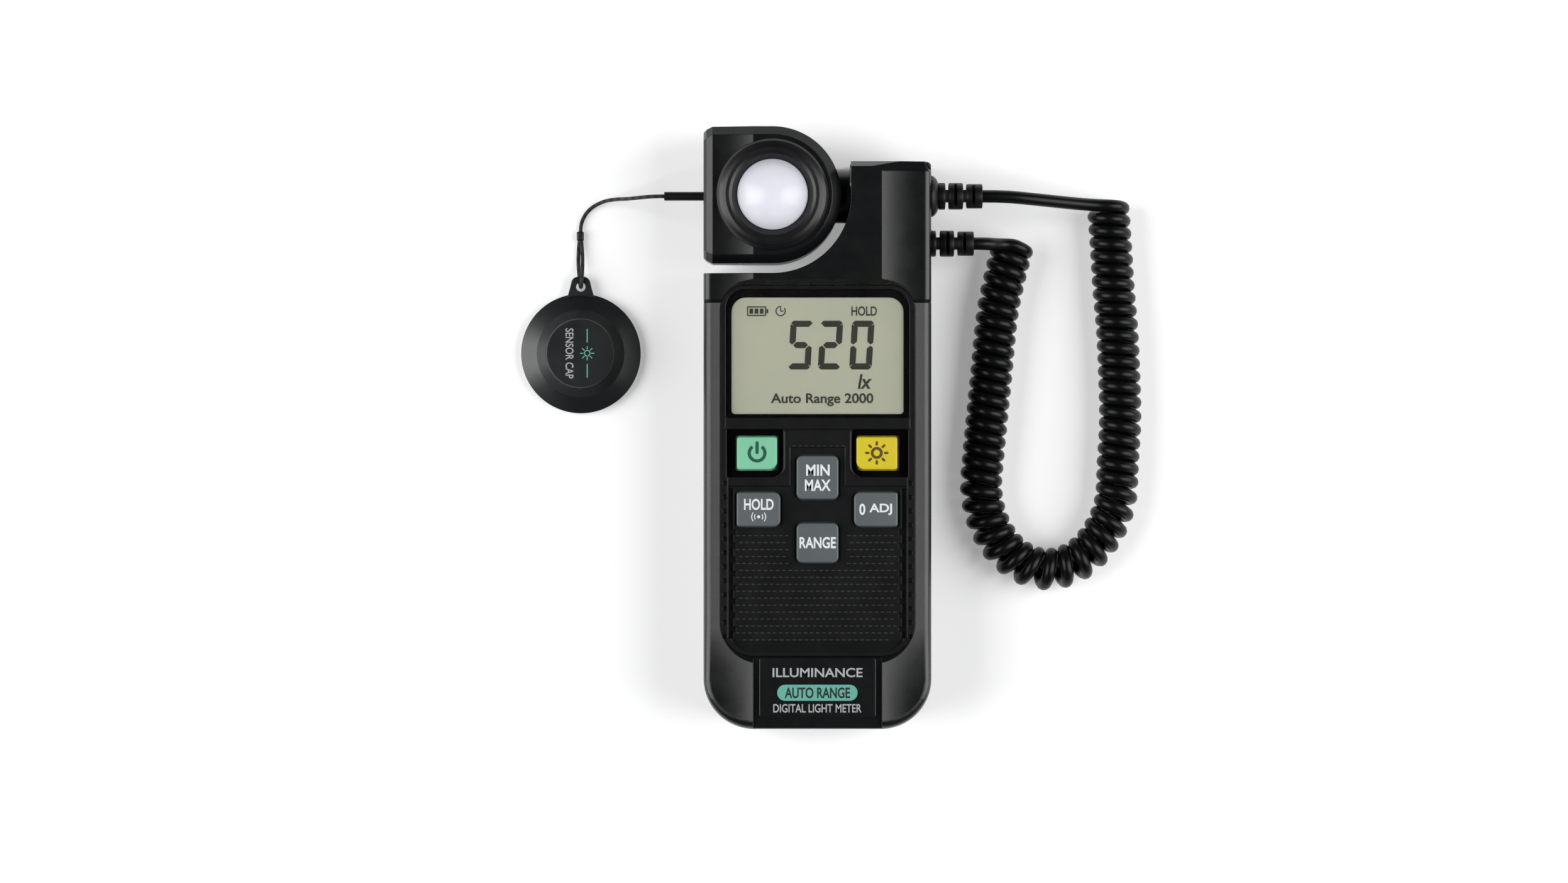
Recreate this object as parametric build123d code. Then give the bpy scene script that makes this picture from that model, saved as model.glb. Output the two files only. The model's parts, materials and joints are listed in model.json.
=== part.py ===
from build123d import *
import os
from math import hypot, radians, tan

# Hand-held light meter, millimetres. +Z points out of the display, +Y towards the sensor head,
# +X to the right of the display. The back rests on Z = 0, and the origin is the middle of the back.

# Case
HALF_W = 32.0            # half the case's width
BOTTOM_Y = -84.5         # lower end of the case
PLATEAU_Z = 32.0         # front face between the two facet lines
FACET_X = 18.0           # the front slopes away outside these lines
SIDE_Z = 28.6            # height of the slope where it meets the side wall
CORNER_R = HALF_W - FACET_X   # lower corners, which begin at the facet lines
EDGE_R = 2.6             # rounding of the front edges
PART_Z = 15.0            # parting plane of the two shells
PART_GAP = 0.15          # each shell stops this far from the parting plane
WALL = 2.4
FLOOR_T = 2.6            # rear wall
SNUG = 0.02              # between two parts that bear on each other
SEAM_Y = 35.2            # seam between the front case and the arm cover

# Sensor head and its pivot
PIVOT_Y = 65.3
PIVOT_Z = 19.5
ROUND_X = -12.6          # centre of the head's round side and of the dome
HEAD_R = 19.2
HEAD_HALF_T = 12.5
HEAD_CHAMFER = 2.4
HEAD_END_BEVEL = 2.5
HEAD_END_STEP = 0.8
CRADLE_R = 22.0          # the shelf and the arm curve round the head at this radius
ARM_TOP_Y = 74.7
SHELF_Y = PIVOT_Y - CRADLE_R
CASE_ROOM = (HALF_W - WALL, BOTTOM_Y + WALL, SHELF_Y - WALL)   # half width, lower end, upper end
CASE_ROOM_CORNERS = (13.2, 13.2, 0, 0)
ARM_X = ROUND_X + CRADLE_R
SPINDLE_R = 3.95
SLEEVE_R = 7.6
RUN_GAP = 0.05           # radial clearance of a running fit

# Slot in the arm that holds the pivot block
SLOT_Y = 56.0
SLOT_Z = (12.0, 27.0)
SLOT_GAP = 0.25

# Face panel, display and keys
PANEL_X = 27.4
PANEL_Y = (-64.1, 39.9)
PANEL_Z = 27.0           # underside of the panel
PANEL_CORNERS = (9.4, 9.4, 6.9, 6.9)
PANEL_GAP = 0.05
FLOOR_Z = 28.6           # keypad floor
APRON_Z = 29.2           # raised apron beside and above the middle keys
RIM_Z = 29.6
LEDGE_Z = 30.0           # bar under the display
WINDOW = (-25.75, 25.75, 2.8, 38.8)
LCD_VIEW = (-24.15, 24.15, 3.8, 36.5)
KEY_TOP_Z = 30.3
KEY_GAP = 0.45           # between a key and its hole
ROW_PITCH = 1.95         # of the grip dots
DOT_ROWS = 23
RAIL_DOT = (0.62, 25.95)     # radius, and distance from the middle
FLOOR_DOT = (0.75, 23.55)

# name: x0, x1, y0, y1, corner radii at lower left, lower right, upper right, upper left
KEYS = {
    "key_power": (-22.65, -11.3, -11.8, -2.6, 0.8, 2.3, 0.8, 0.8),
    "key_backlight": (10.9, 22.4, -11.8, -2.6, 2.3, 0.8, 0.8, 0.8),
    "key_min_max": (-5.9, 5.9, -20.1, -7.9, 1.6, 1.6, 1.6, 1.6),
    "key_hold": (-22.7, -10.4, -27.75, -18.1, 0.7, 1.8, 1.8, 0.7),
    "key_zero_adjust": (10.2, 22.5, -27.75, -18.1, 1.8, 0.7, 0.7, 1.8),
    "key_range": (-5.9, 5.9, -37.9, -26.75, 1.6, 1.6, 1.6, 1.6),
}

HEAD_SCREWS = [(x, PIVOT_Y + side * dy) for x, dy in ((-26.6, 13.2), (-1.6, 12.4)) for side in (-1, 1)]
HEAD_SCREW_R = 1.1

# Battery bay and door
BAY_X = 16.0
BAY_Y = (-78.0, -22.0)
BAY_TOP = 17.9
DOOR_X = 17.0
DOOR_Y = (-79.2, -13.5)
DOOR_Z = (0.2, 2.2)
SCREW_Y = -17.5
CELL_R = 7.2
CELL_Y = (-75.6, -25.4)
CELL_X = 7.55

# Tripod socket in the back, and the circuit board
TRIPOD_Y = 22.0
TRIPOD_R = 3.25
BOARD_Z = (21.0, 22.6)

# Case screws, (x, y). The last one is in the arm.
CASE_SCREWS = [(-26.6, -4.0), (26.6, -4.0), (-22.6, -68.5), (22.6, -68.5), (20.0, 49.0)]
SHELL_SCREWS = CASE_SCREWS[:4]
CASE_SCREW_R = 1.2
CASE_PILOT_R = 1.25
CASE_HEAD_R = 2.5

# Cord
CORD_R = 1.8
COIL_R = 6.1             # outer radius of the curly part
GLAND_Y = 52.1           # where the cord leaves the case
GLAND_END_UPPER = 46.6
GLAND_END_LOWER = 44.3
COIL_Z = 6.15            # the coil lies on the surface under the meter

COIL_AXIS = [
    (54.9, 49.3), (52.2, 38.5), (50.7, 27.5), (49.7, 15.5), (48.4, 3.0), (47.3, -8.5),
    (46.4, -18.5), (49.0, -28.5), (55.0, -36.8), (63.8, -40.9), (73.5, -38.9), (80.6, -32.0),
    (85.3, -22.0), (85.6, -10.5), (86.5, 2.0), (86.1, 14.5), (85.6, 27.5), (84.4, 39.5),
    (83.8, 51.0), (83.1, 60.9),
]
UPPER_LEAD = [
    (GLAND_END_UPPER + SNUG, PIVOT_Y, PIVOT_Z), (53.0, PIVOT_Y, PIVOT_Z), (60.5, 64.6, 18.4),
    (68.5, 63.9, 15.7), (76.5, 63.4, 13.1), (84.0, 63.3, 11.7),
]
LOWER_LEAD = [
    (GLAND_END_LOWER + SNUG, GLAND_Y, PART_Z), (48.8, GLAND_Y, PART_Z), (53.1, 52.0, 14.2),
    (57.2, 51.7, 12.7),
]

# Strap and cap
STRAP_R = 0.55
STRAP_ROUTE = [
    (-43.22, PIVOT_Y, PIVOT_Z), (-46.6, PIVOT_Y, PIVOT_Z), (-50.8, 65.0, 16.6), (-54.2, 64.9, 11.4),
    (-57.4, 65.1, 5.9), (-61.4, 64.6, 1.8), (-65.2, 62.4, 0.72), (-67.2, 59.2, 0.74), (-67.6, 56.1, 1.0),
]
LOOP_ROUTE = [
    (-67.35, 53.3, 1.55), (-66.95, 49.5, 1.7), (-66.9, 46.2, 2.9), (-67.0, 43.6, 4.25),
    (-67.15, 41.0, 4.3), (-67.4, 39.9, 2.2), (-67.7, 41.0, 0.72), (-67.95, 43.6, 0.62),
    (-68.2, 46.8, 0.66), (-68.15, 50.0, 0.62), (-67.85, 53.3, 0.65),
]
CAP_X = -67.4
CAP_Y = 21.2
CAP_R = 17.05
CAP_ROOM_R = 15.8        # inside radius, over the collar
# (height, radius) of the cap's outside and of its room: a broad cone, a steeper ring and a flat crown
CAP_PROFILE = [(0, CAP_R), (2.5, CAP_R), (4.9, 12.5), (6.95, 9.95), (7.4, 9.55)]
CAP_ROOM = [(-1, CAP_ROOM_R), (2.3, CAP_ROOM_R), (2.4, 12.0), (4.3, 11.2), (5.9, 8.6), (6.3, 7.0)]
EYELET_Y = 40.2
EYELET_R = 1.35
TAB_Z = (1.6, 3.3)
TAB_HALF_OUTLINE = [(4.4, 14.0), (3.1, 18.6), (2.3, 21.9)]   # from the cap's middle
TAB_ROUND = 1.9

PARTS = {}


def block(x0, x1, y0, y1, z0, z1):
    """A box between two corners."""
    middle = ((x0 + x1) / 2, (y0 + y1) / 2, (z0 + z1) / 2)
    return Pos(*middle) * Box(x1 - x0, y1 - y0, z1 - z0)


def rod_x(r, x0, x1, y, z):
    return Pos((x0 + x1) / 2, y, z) * Rot(0, 90, 0) * Cylinder(r, x1 - x0)


def rod_y(r, y0, y1, x, z):
    return Pos(x, (y0 + y1) / 2, z) * Rot(90, 0, 0) * Cylinder(r, y1 - y0)


def rod_z(r, z0, z1, x, y):
    return Pos(x, y, (z0 + z1) / 2) * Cylinder(r, z1 - z0)


def plate(span, z0, z1, radii):
    """A flat plate with its own radius at each corner: lower left, lower right, upper right, upper left."""
    x0, x1, y0, y1 = span
    sketch = Pos((x0 + x1) / 2, (y0 + y1) / 2) * Rectangle(x1 - x0, y1 - y0)
    corners = [(x0, y0), (x1, y0), (x1, y1), (x0, y1)]
    for (x, y), r in zip(corners, radii):
        if r > 0:
            near = min(sketch.vertices(), key=lambda v: hypot(v.X - x, v.Y - y))
            sketch = fillet(near, r)
    return Pos(0, 0, z0) * extrude(sketch, z1 - z0)


def even_plate(span, z0, z1, r):
    return plate(span, z0, z1, (r, r, r, r))


def grown(span, by):
    x0, x1, y0, y1 = span
    return (x0 - by, x1 + by, y0 - by, y1 + by)


def ring_frame(span, wide, z0, z1, r):
    """A flat frame of even width inside a rounded outline."""
    return even_plate(span, z0, z1, r) - even_plate(grown(span, -wide), z0 - 1, z1 + 1, max(r - wide, 0.3))


def turned(points, origin, towards):
    """A solid of revolution: points are (distance along the axis, radius)."""
    ends = [(points[0][0], 0)] + points + [(points[-1][0], 0)]
    outline = [(r, along) for along, r in ends]
    face = make_face(Plane.XZ * Polyline(*outline, close=True))
    solid = revolve(face, Axis.Z)
    turn = {"x": Rot(0, 90, 0), "z": Rot(0, 0, 0)}[towards]
    return Pos(*origin) * turn * solid


def mirrored(solid):
    return mirror(solid, Plane.YZ)


def route_radii(points):
    """The largest arc that each corner's two runs allow, with a tenth of each run left straight."""
    radii = []
    for a, b, c in zip(points, points[1:], points[2:]):
        before, after = Vector(*b) - Vector(*a), Vector(*c) - Vector(*b)
        half_turn = radians(before.get_angle(after)) / 2
        radii.append(0.45 * min(before.length, after.length) / tan(half_turn))
    return radii


def cord_tube(name, points, r):
    """A cord of straight runs joined by tangent arcs. Its radii and its volume are printed."""
    points = [p if len(p) == 3 else (*p, COIL_Z) for p in points]
    radii = route_radii(points)
    path = FilletPolyline(*points, radius=radii)
    section = Plane(origin=points[0], z_dir=Vector(*points[1]) - Vector(*points[0])) * Circle(r)
    tube = sweep(section, path=path)
    ratio = tube.volume / (3.14159265 * r * r * path.length)
    print(f"{name}: {path.length:.1f} mm long, smallest arc {min(radii):.1f} mm, volume ratio {ratio:.4f}")
    return tube


# Case shells


def case_outline():
    lower = Pos(0, (SHELF_Y + BOTTOM_Y) / 2) * Rectangle(2 * HALF_W, SHELF_Y - BOTTOM_Y)
    lower = fillet([v for v in lower.vertices() if v.Y < 0], CORNER_R)
    arm = Pos((ROUND_X + HALF_W) / 2, (SHELF_Y + ARM_TOP_Y) / 2) * Rectangle(
        HALF_W - ROUND_X, ARM_TOP_Y - SHELF_Y)
    arm -= Pos(ROUND_X, PIVOT_Y) * Circle(CRADLE_R)
    arm -= Pos(ROUND_X + CRADLE_R / 2, PIVOT_Y + CRADLE_R / 2) * Rectangle(CRADLE_R, CRADLE_R)
    return lower + arm


def case_body():
    """The closed outer shape of the case, before it is split into shells."""
    solid = extrude(case_outline(), PLATEAU_Z)
    crown = Plane.XZ * Polyline(
        (-HALF_W, 0), (HALF_W, 0), (HALF_W, SIDE_Z), (FACET_X, PLATEAU_Z), (-FACET_X, PLATEAU_Z),
        (-HALF_W, SIDE_Z), close=True)
    solid &= extrude(make_face(crown), 100, both=True)
    solid = fillet(front_edges(solid), EDGE_R)
    solid = chamfer(arm_top_edges(solid), 1.5, 2.8)
    return fillet(back_edges(solid), 2.2)


def arm_top_edges(solid):
    return [e for e in solid.edges()
            if e.center().Y > ARM_TOP_Y - 0.1 and e.center().Z > SIDE_Z - 0.1]


def front_edges(solid):
    """Front edges of the two sides and of the lower end."""
    found = []
    for e in solid.edges():
        c = e.center()
        low_end = c.Y < BOTTOM_Y + CORNER_R + 0.1 and c.Z > SIDE_Z - 0.1
        side = abs(abs(c.X) - HALF_W) < 0.05 and abs(c.Z - SIDE_Z) < 0.1 and e.length > 5
        if low_end or side:
            found.append(e)
    return found


def back_edges(solid):
    return [e for e in solid.edges()
            if abs(e.center().Z) < 0.01 and (abs(e.center().X) > 20 or e.center().Y < BOTTOM_Y + 1)]


def panel_room():
    """The recess that the face panel sits in, with a bevelled mouth where the case stands above it."""
    span = grown((-PANEL_X, PANEL_X, *PANEL_Y), PANEL_GAP)
    corners = [r + PANEL_GAP for r in PANEL_CORNERS]
    room = plate(span, PANEL_Z, PLATEAU_Z + 1, corners)
    mouth = extrude(room.faces().sort_by(Axis.Z)[-1], 4, taper=-40)
    return room + Pos(0, 0, RIM_Z + 0.4 - PLATEAU_Z - 1) * mouth


def case_room(z0, z1):
    half_w, y0, y1 = CASE_ROOM
    return plate((-half_w, half_w, y0, y1), z0, z1, CASE_ROOM_CORNERS)


def screw_holes(z0, z1, r):
    return [rod_z(r, z0, z1, x, y) for x, y in CASE_SCREWS]


def slot_room():
    room = block(ARM_X - 2, HALF_W + 2, SLOT_Y, ARM_TOP_Y + 5, *SLOT_Z)
    return room + block(17.7, 23.3, SLOT_Y, ARM_TOP_Y + 5, SLOT_Z[0] - 1.4, SLOT_Z[0] + 1)


def gland_hole():
    return rod_x(3.1, 25.4, HALF_W + 1, GLAND_Y, PART_Z)


def nameplate_channel():
    return block(-FACET_X - 0.1, FACET_X + 0.1, BOTTOM_Y - 1, PANEL_Y[0] + 2, 30.6, 40)


def front_shells(body):
    upper = body & block(-50, 50, -100, 100, PART_Z + PART_GAP, 50)
    low_room = case_room(0, 25.2)
    high_room = even_plate((-25.9, 25.9, -62.6, 39.3), 20, PANEL_Z + 1, 5)
    upper -= low_room + high_room
    for x, y in SHELL_SCREWS:
        upper += rod_z(2.6, PART_Z + PART_GAP, 25.4, x, y) - rod_z(CASE_PILOT_R, 0, 25.0, x, y)
    upper -= screw_holes(0, 24.6, CASE_PILOT_R)
    upper -= panel_room()
    upper -= slot_room()
    upper -= gland_hole()
    upper -= nameplate_channel()
    lower_part = upper & block(-50, 50, -100, SEAM_Y - 0.12, 0, 50)
    arm_part = upper & block(-50, 50, SEAM_Y + 0.12, 100, 0, 50)
    return lower_part, arm_part


def rear_shell(body):
    shell = body & block(-50, 50, -100, 100, 0, PART_Z - PART_GAP)
    shell -= case_room(FLOOR_T, 20)
    wall = 2.2
    bay = block(-BAY_X - wall, BAY_X + wall, BAY_Y[0] - wall, BAY_Y[1] + wall, FLOOR_T - 0.1, BAY_TOP + 1.5)
    bay += block(-BAY_X - wall, BAY_X + wall, BAY_Y[1], DOOR_Y[1] + 2.2, FLOOR_T - 0.1, FLOOR_T + 1.8)
    bay += rod_z(3.6, FLOOR_T, 10.6, 0, SCREW_Y)
    shell += bay
    for x, y in SHELL_SCREWS:
        shell += rod_z(3.25, 1.0, PART_Z - PART_GAP, x, y)
    shell += rod_z(7.0, 1.0, 11.0, 0, TRIPOD_Y)
    shell -= block(-BAY_X, BAY_X, BAY_Y[0], BAY_Y[1], -1, BAY_TOP)
    shell -= even_plate((-DOOR_X - 0.2, DOOR_X + 0.2, DOOR_Y[0] - 0.2, DOOR_Y[1] + 0.2), -1, 2.5, 1.7)
    shell -= rod_z(2.4, 0, 9.6, 0, SCREW_Y)
    shell -= rod_z(5.0, -1, 9.5, 0, TRIPOD_Y)
    shell -= screw_holes(-1, 30, CASE_SCREW_R + 0.1)
    shell -= screw_holes(-1, 3.2, CASE_HEAD_R + 0.2)
    shell -= slot_room()
    shell -= gland_hole()
    return shell


def case_parts():
    body = case_body()
    PARTS["front_case"], PARTS["arm_cover"] = front_shells(body)
    PARTS["rear_case"] = rear_shell(body)
    seal_span = (-31.4, 31.4, BOTTOM_Y + 0.6, SHELF_Y - 0.6)
    seal = plate(seal_span, PART_Z - 0.14, PART_Z + 0.14, (14.9, 14.9, 0.6, 0.6))
    seal -= plate(grown(seal_span, -1.4), 0, 30, (13.5, 13.5, 0.3, 0.3))
    PARTS["case_gasket"] = seal
    screws = []
    for x, y in CASE_SCREWS:
        screw = rod_z(CASE_SCREW_R, 2.0, 24.0, x, y) + rod_z(CASE_HEAD_R, 1.0, 3.0, x, y)
        screw -= block(x - 1.5, x + 1.5, y - 0.3, y + 0.3, 0, 1.9)
        screws.append(screw - block(x - 0.3, x + 0.3, y - 1.5, y + 1.5, 0, 1.9))
    PARTS["case_screws"] = Compound(children=screws)
    insert = turned([(0.0, 5.0), (9.5, 5.0)], (0, TRIPOD_Y, 0), "z") - rod_z(TRIPOD_R, -1, 8.6, 0, TRIPOD_Y)
    PARTS["tripod_insert"] = insert
    plate_body = even_plate((-16.4, 16.4, -81.3, -64.4), 30.62, 31.3, 0.8)
    PARTS["nameplate"] = fillet(plate_body.faces().sort_by(Axis.Z)[-1].edges(), 0.3)


# Face panel, display and keys


def face_panel():
    panel = plate((-PANEL_X, PANEL_X, *PANEL_Y), PANEL_Z, RIM_Z, PANEL_CORNERS)
    keypad = plate((-25.2, 25.2, -63.0, -0.4), FLOOR_Z, 40, (7.4, 7.4, 0.5, 0.5))
    panel -= keypad
    # sloped band at the lower end of the keypad
    band = Plane.YZ * Polyline((-63.2, RIM_Z), (-63.2, 28.0), (-59.7, 28.0), (-59.7, FLOOR_Z), close=True)
    band = extrude(make_face(band), 30, both=True)
    panel += band & plate((-25.6, 25.6, -63.4, -40), 27, 40, (7.6, 7.6, 0, 0))
    # aprons that hold the two upper keys, joined above the middle column
    apron = block(-25.3, 25.3, -5.5, 0, FLOOR_Z - 0.2, APRON_Z)
    for side in (-1, 1):
        x_in, x_out = side * 7.7, side * 25.3
        apron += block(*sorted((x_in, x_out)), -16.4, -5.0, FLOOR_Z - 0.2, APRON_Z)
    panel += apron
    for side in (-1, 1):
        # pocket of the power key and of the backlight key
        pocket = plate((-25.5, -9.6, -13.9, -0.5), PANEL_Z + 0.8, 40, (0.5, 3.2, 0.5, 0.5))
        panel -= pocket if side < 0 else mirrored(pocket)
        # dark channel between the side rail and the floor
        panel -= block(*sorted((side * 23.6, side * 25.1)), -59.0, -17.2, PANEL_Z + 0.7, 40)
    panel -= plate(WINDOW, 20, 40, (1.0, 1.0, 5.3, 5.3))
    panel += block(-25.9, 25.9, -0.4, 2.8, PANEL_Z, LEDGE_Z)
    for x0, x1, y0, y1, *radii in KEYS.values():
        panel -= plate(grown((x0, x1, y0, y1), KEY_GAP), 20, 40, [r + KEY_GAP for r in radii])
    # two rows of dots turn about along each side: one on the rail, one in the floor's edge
    dots = []
    for side in (-1, 1):
        for row in range(DOT_ROWS):
            y = -15.6 - ROW_PITCH * row
            if row % 2 == 0:
                dots.append(rod_z(RAIL_DOT[0], RIM_Z - 0.8, 40, side * RAIL_DOT[1], y))
            elif -58.0 < y < -29.0:
                dots.append(rod_z(FLOOR_DOT[0], PANEL_Z + 0.7, 40, side * FLOOR_DOT[1], y))
    return panel - dots


def key(x0, x1, y0, y1, *radii):
    cap = plate((x0, x1, y0, y1), 24.9, KEY_TOP_Z, radii)
    cap = fillet(cap.faces().sort_by(Axis.Z)[-1].edges(), 0.55)
    flange = plate(grown((x0, x1, y0, y1), 0.95), 25.6, 26.75, [r + 0.9 for r in radii])
    return cap + flange


def keypad_mat():
    mat = even_plate((-23.4, 23.4, -39.5, -0.8), BOARD_Z[1] + 0.05, BOARD_Z[1] + 0.8, 1.0)
    for x0, x1, y0, y1, *_ in KEYS.values():
        dome = turned([(0, 3.4), (0.7, 2.6), (0.9, 2.2)], ((x0 + x1) / 2, (y0 + y1) / 2, 23.1), "z")
        mat += dome
    return mat


def display_parts():
    x0, x1, y0, y1 = WINDOW
    PARTS["display_window"] = plate((x0 + 0.05, x1 - 0.05, y0 + 0.05, y1 - 0.05), 28.0, 29.3,
                                    (0.9, 0.9, 5.2, 5.2))
    mask = plate((x0 + 0.1, x1 - 0.1, y0 + 0.1, y1 - 0.1), 27.7, 27.98, (0.9, 0.9, 5.1, 5.1))
    PARTS["display_mask"] = mask - plate(LCD_VIEW, 20, 40, (1.0, 1.0, 4.1, 4.1))
    PARTS["lcd_glass"] = plate((-25.3, 25.3, 3.1, 38.4), 25.6, 27.68, (0, 0, 5.0, 5.0))
    PARTS["lcd_backlight"] = block(-24.6, 24.6, 6.4, 35.2, BOARD_Z[1] + 0.05, 25.55)
    PARTS["zebra_strips"] = Compound(children=[
        block(-24.0, 24.0, y, y + 2.0, BOARD_Z[1] + SNUG, 25.58) for y in (3.6, 36.0)])


def electronics():
    z0, z1 = BOARD_Z
    board = even_plate((-23.6, 23.6, -58.0, 40.0), z0, z1, 2)
    board += block(-23.6, 23.6, -40, 38.6, z0, z1)
    PARTS["main_board"] = board
    chips = [(-6, 4, 26, 36), (6, 13, 27, 34), (-14, -9, 3, 8), (-5, 4, -11, -2)]
    PARTS["board_chips"] = Compound(children=[
        block(xa, xb, ya, yb, z0 - 1.5, z0 - SNUG) for xa, xb, ya, yb in chips])
    PARTS["wireless_module"] = block(-22, -10, 14, 30, z0 - 2.2, z0 - SNUG)
    PARTS["buzzer"] = rod_z(6.0, z0 - 4.6, z0 - SNUG, 14, 8) - rod_z(1.0, 0, z0 - 3.6, 14, 8)
    PARTS["keypad_mat"] = keypad_mat()
    for name, size in KEYS.items():
        PARTS[name] = key(*size)


# Battery bay


def battery_parts():
    door = even_plate((-DOOR_X, DOOR_X, *DOOR_Y), *DOOR_Z, 1.5)
    door -= rod_z(3.2, -1, 1.0, 0, SCREW_Y) + rod_z(1.45, -1, 4, 0, SCREW_Y)
    for row in range(7):
        y = -70.0 + 2.6 * row
        door -= block(-9.0, 9.0, y, y + 1.1, -1, DOOR_Z[0] + 0.5)
    PARTS["battery_door"] = door
    PARTS["battery_door_seal"] = ring_frame((-16.9, 16.9, -79.0, -20.9), 0.85, DOOR_Z[1] + SNUG, 2.48, 1.2)
    screw = rod_z(1.35, 0.5, 8.4, 0, SCREW_Y) + rod_z(2.9, 0.3, 0.98, 0, SCREW_Y)
    PARTS["battery_door_screw"] = screw - block(-2.2, 2.2, SCREW_Y - 0.4, SCREW_Y + 0.4, 0, 0.7)
    PARTS["door_insert"] = rod_z(2.4, 4.42, 9.6, 0, SCREW_Y) - rod_z(1.43, 0, 9.0, 0, SCREW_Y)
    z = DOOR_Z[1] + 0.6 + CELL_R
    cells, contacts, springs = [], [], []
    for side in (-1, 1):
        x = side * CELL_X
        y0, y1 = CELL_Y
        nub = (y1 - 0.05, y1 + 1.1) if side > 0 else (y0 - 1.1, y0 + 0.05)
        cells.append(rod_y(CELL_R, y0, y1, x, z) + rod_y(2.7, *nub, x, z))
        contacts.append(block(x - 5, x + 5, BAY_Y[1] - 0.5, BAY_Y[1] - 0.05, 5, 16))
        contacts.append(block(x - 5, x + 5, BAY_Y[0] + 0.05, BAY_Y[0] + 0.5, 5, 16))
        start, step = (y0 - 0.35, -0.55) if side > 0 else (y1 + 0.35, 0.55)
        for turn in range(3):
            coil = Pos(x, start + step * turn, z) * Rot(90, 0, 0) * Torus(4.4 - 0.7 * turn, 0.25)
            springs.append(coil)
    PARTS["battery_cells"] = Compound(children=cells)
    PARTS["battery_contacts"] = Compound(children=contacts)
    PARTS["battery_springs"] = Compound(children=springs)


# Sensor head


def head_outline(inset):
    """The D of the head, seen from the front."""
    half = HEAD_R - inset
    left = -HALF_W + inset
    square = Pos((left + ROUND_X) / 2, PIVOT_Y) * Rectangle(ROUND_X - left, 2 * half)
    return square + Pos(ROUND_X, PIVOT_Y) * Circle(half)


def head_section(x, shrink, half_t):
    """An eight-sided section across the head at one x."""
    half = HEAD_R - shrink
    c = HEAD_CHAMFER
    points = [(half, half_t - c), (half - c, half_t), (c - half, half_t), (-half, half_t - c),
              (-half, c - half_t), (c - half, -half_t), (half - c, -half_t), (half, c - half_t)]
    section = make_face(Plane.YZ * Polyline(*points, close=True))
    return Pos(x, PIVOT_Y, PIVOT_Z) * section


def head_body():
    """The closed outer shape of the head: a D with bevelled edges, its left third sloping away."""
    right = Pos(0, 0, PIVOT_Z - HEAD_HALF_T) * extrude(head_outline(0), 2 * HEAD_HALF_T)
    flats = [f for f in right.faces() if abs(f.normal_at().Z) > 0.9]
    right = chamfer([e for f in flats for e in f.edges()], HEAD_CHAMFER)
    right &= block(-FACET_X, 50, 0, 100, 0, 50)
    slope = (PLATEAU_Z - SIDE_Z) / (HALF_W - FACET_X)
    end_t = HEAD_HALF_T - slope * (HALF_W - HEAD_END_BEVEL - FACET_X)
    # the end bevel is shallow at first and then steep
    left = loft([head_section(-FACET_X, 0, HEAD_HALF_T), head_section(HEAD_END_BEVEL - HALF_W, 0, end_t),
                 head_section(HEAD_END_STEP - HALF_W, HEAD_END_STEP, end_t - 1.2),
                 head_section(-HALF_W, 2 * HEAD_END_STEP, end_t - 2.6)], ruled=True)
    return right + left


def head_parts():
    body = head_body()
    room = Pos(0, 0, PIVOT_Z - 7.4) * extrude(head_outline(WALL), 14.8)
    room += (Pos(0, 0, PIVOT_Z - 9.8) * extrude(head_outline(WALL), 19.6)) & block(-20, 50, 0, 100, 0, 50)
    bore = rod_x(SLEEVE_R + SNUG, -1, 20, PIVOT_Y, PIVOT_Z)
    shell = body - room
    posts = [rod_z(2.3, 8.0, 31.0, x, y) & body for x, y in HEAD_SCREWS]
    for post in posts:
        shell += post
    shell -= bore
    collar_hole = rod_z(15.0, 28.4, 50, ROUND_X, PIVOT_Y)
    front = shell & block(-50, 50, 0, 100, PIVOT_Z + 0.08, 50)
    front -= collar_hole
    front -= [rod_z(HEAD_SCREW_R + 0.05, 0, 27.2, x, y) for x, y in HEAD_SCREWS]
    rear = shell & block(-50, 50, 0, 100, 0, PIVOT_Z - 0.08)
    rear -= [rod_z(HEAD_SCREW_R + 0.15, 0, 30, x, y) + rod_z(2.3, 0, 9.6, x, y) for x, y in HEAD_SCREWS]
    PARTS["head_front_shell"] = front
    PARTS["head_rear_shell"] = rear
    PARTS["head_screws"] = Compound(children=[
        rod_z(HEAD_SCREW_R, 9.0, 26.4, x, y) + rod_z(2.1, 8.0, 9.58, x, y)
        - block(x - 1.4, x + 1.4, y - 0.3, y + 0.3, 7, 8.7) for x, y in HEAD_SCREWS])
    sleeve = rod_x(SLEEVE_R, 2.0, ARM_X - 0.25, PIVOT_Y, PIVOT_Z)
    PARTS["pivot_sleeve"] = sleeve - rod_x(SPINDLE_R + RUN_GAP, 0, 20, PIVOT_Y, PIVOT_Z)
    sensor_stack()


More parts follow.
